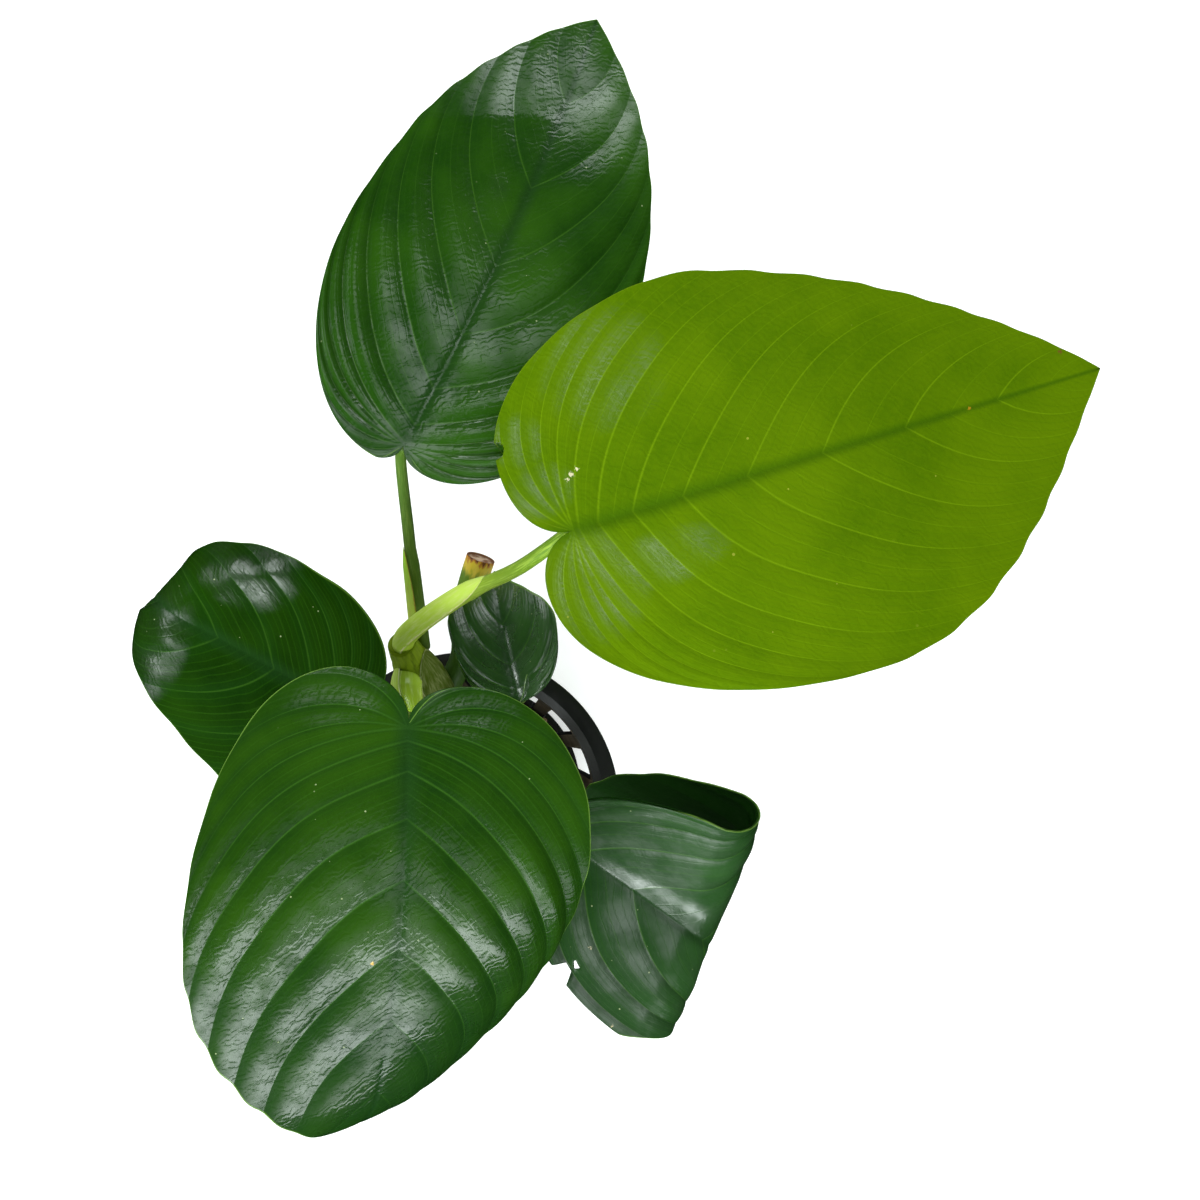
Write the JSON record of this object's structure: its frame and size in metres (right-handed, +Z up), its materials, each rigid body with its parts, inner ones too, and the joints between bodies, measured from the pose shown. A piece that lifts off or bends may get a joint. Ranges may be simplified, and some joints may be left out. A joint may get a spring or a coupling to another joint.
{
  "type": "potted anubias barteri",
  "caption": "Aquarium plant with heart-shaped quilted blades on slender stalks, rising from a creeping rhizome in a wool plug inside a slotted round net pot.",
  "frame": {"origin": "the middle of the pot's flat underside, where mount pot_base lies", "axes": "+Z up out of the pot, with pot_base facing -Z; +Y is the longest extent, from the front leaf's tip to the rear leaf's tip"},
  "size_m": [0.1546, 0.1807, 0.1164],
  "materials": {
    "pot_plastic": "satin black moulded plastic",
    "wool": "rough soaked fibre",
    "rhizome_skin": "waxy, ringed with leaf scars",
    "blade_rear": "waxy leaf",
    "blade_young": "satin young leaf",
    "blade_front": "glossy quilted leaf",
    "blade_left": "waxy leaf",
    "blade_rolled": "glossy leaf with a dark underside",
    "blade_small": "waxy leaf",
    "petiole_dark": "smooth stalk",
    "petiole_young": "smooth pale stalk",
    "cut_stalk": "smooth stalk with a brown cut",
    "bud": "glossy sheath"
  },
  "bodies": {
    "root": {"net_pot": "pot_plastic", "stone_wool": "wool", "rhizome": "rhizome_skin", "blade_rear": "blade_rear", "petiole_rear": "petiole_dark", "blade_young": "blade_young", "petiole_young": "petiole_young", "blade_front": "blade_front", "petiole_front": "petiole_dark", "blade_left": "blade_left", "petiole_left": "petiole_dark", "blade_rolled": "blade_rolled", "petiole_rolled": "petiole_dark", "blade_small": "blade_small", "petiole_small": "petiole_dark", "cut_stalk": "cut_stalk", "growing_bud": "bud"}
  },
  "joints": []
}
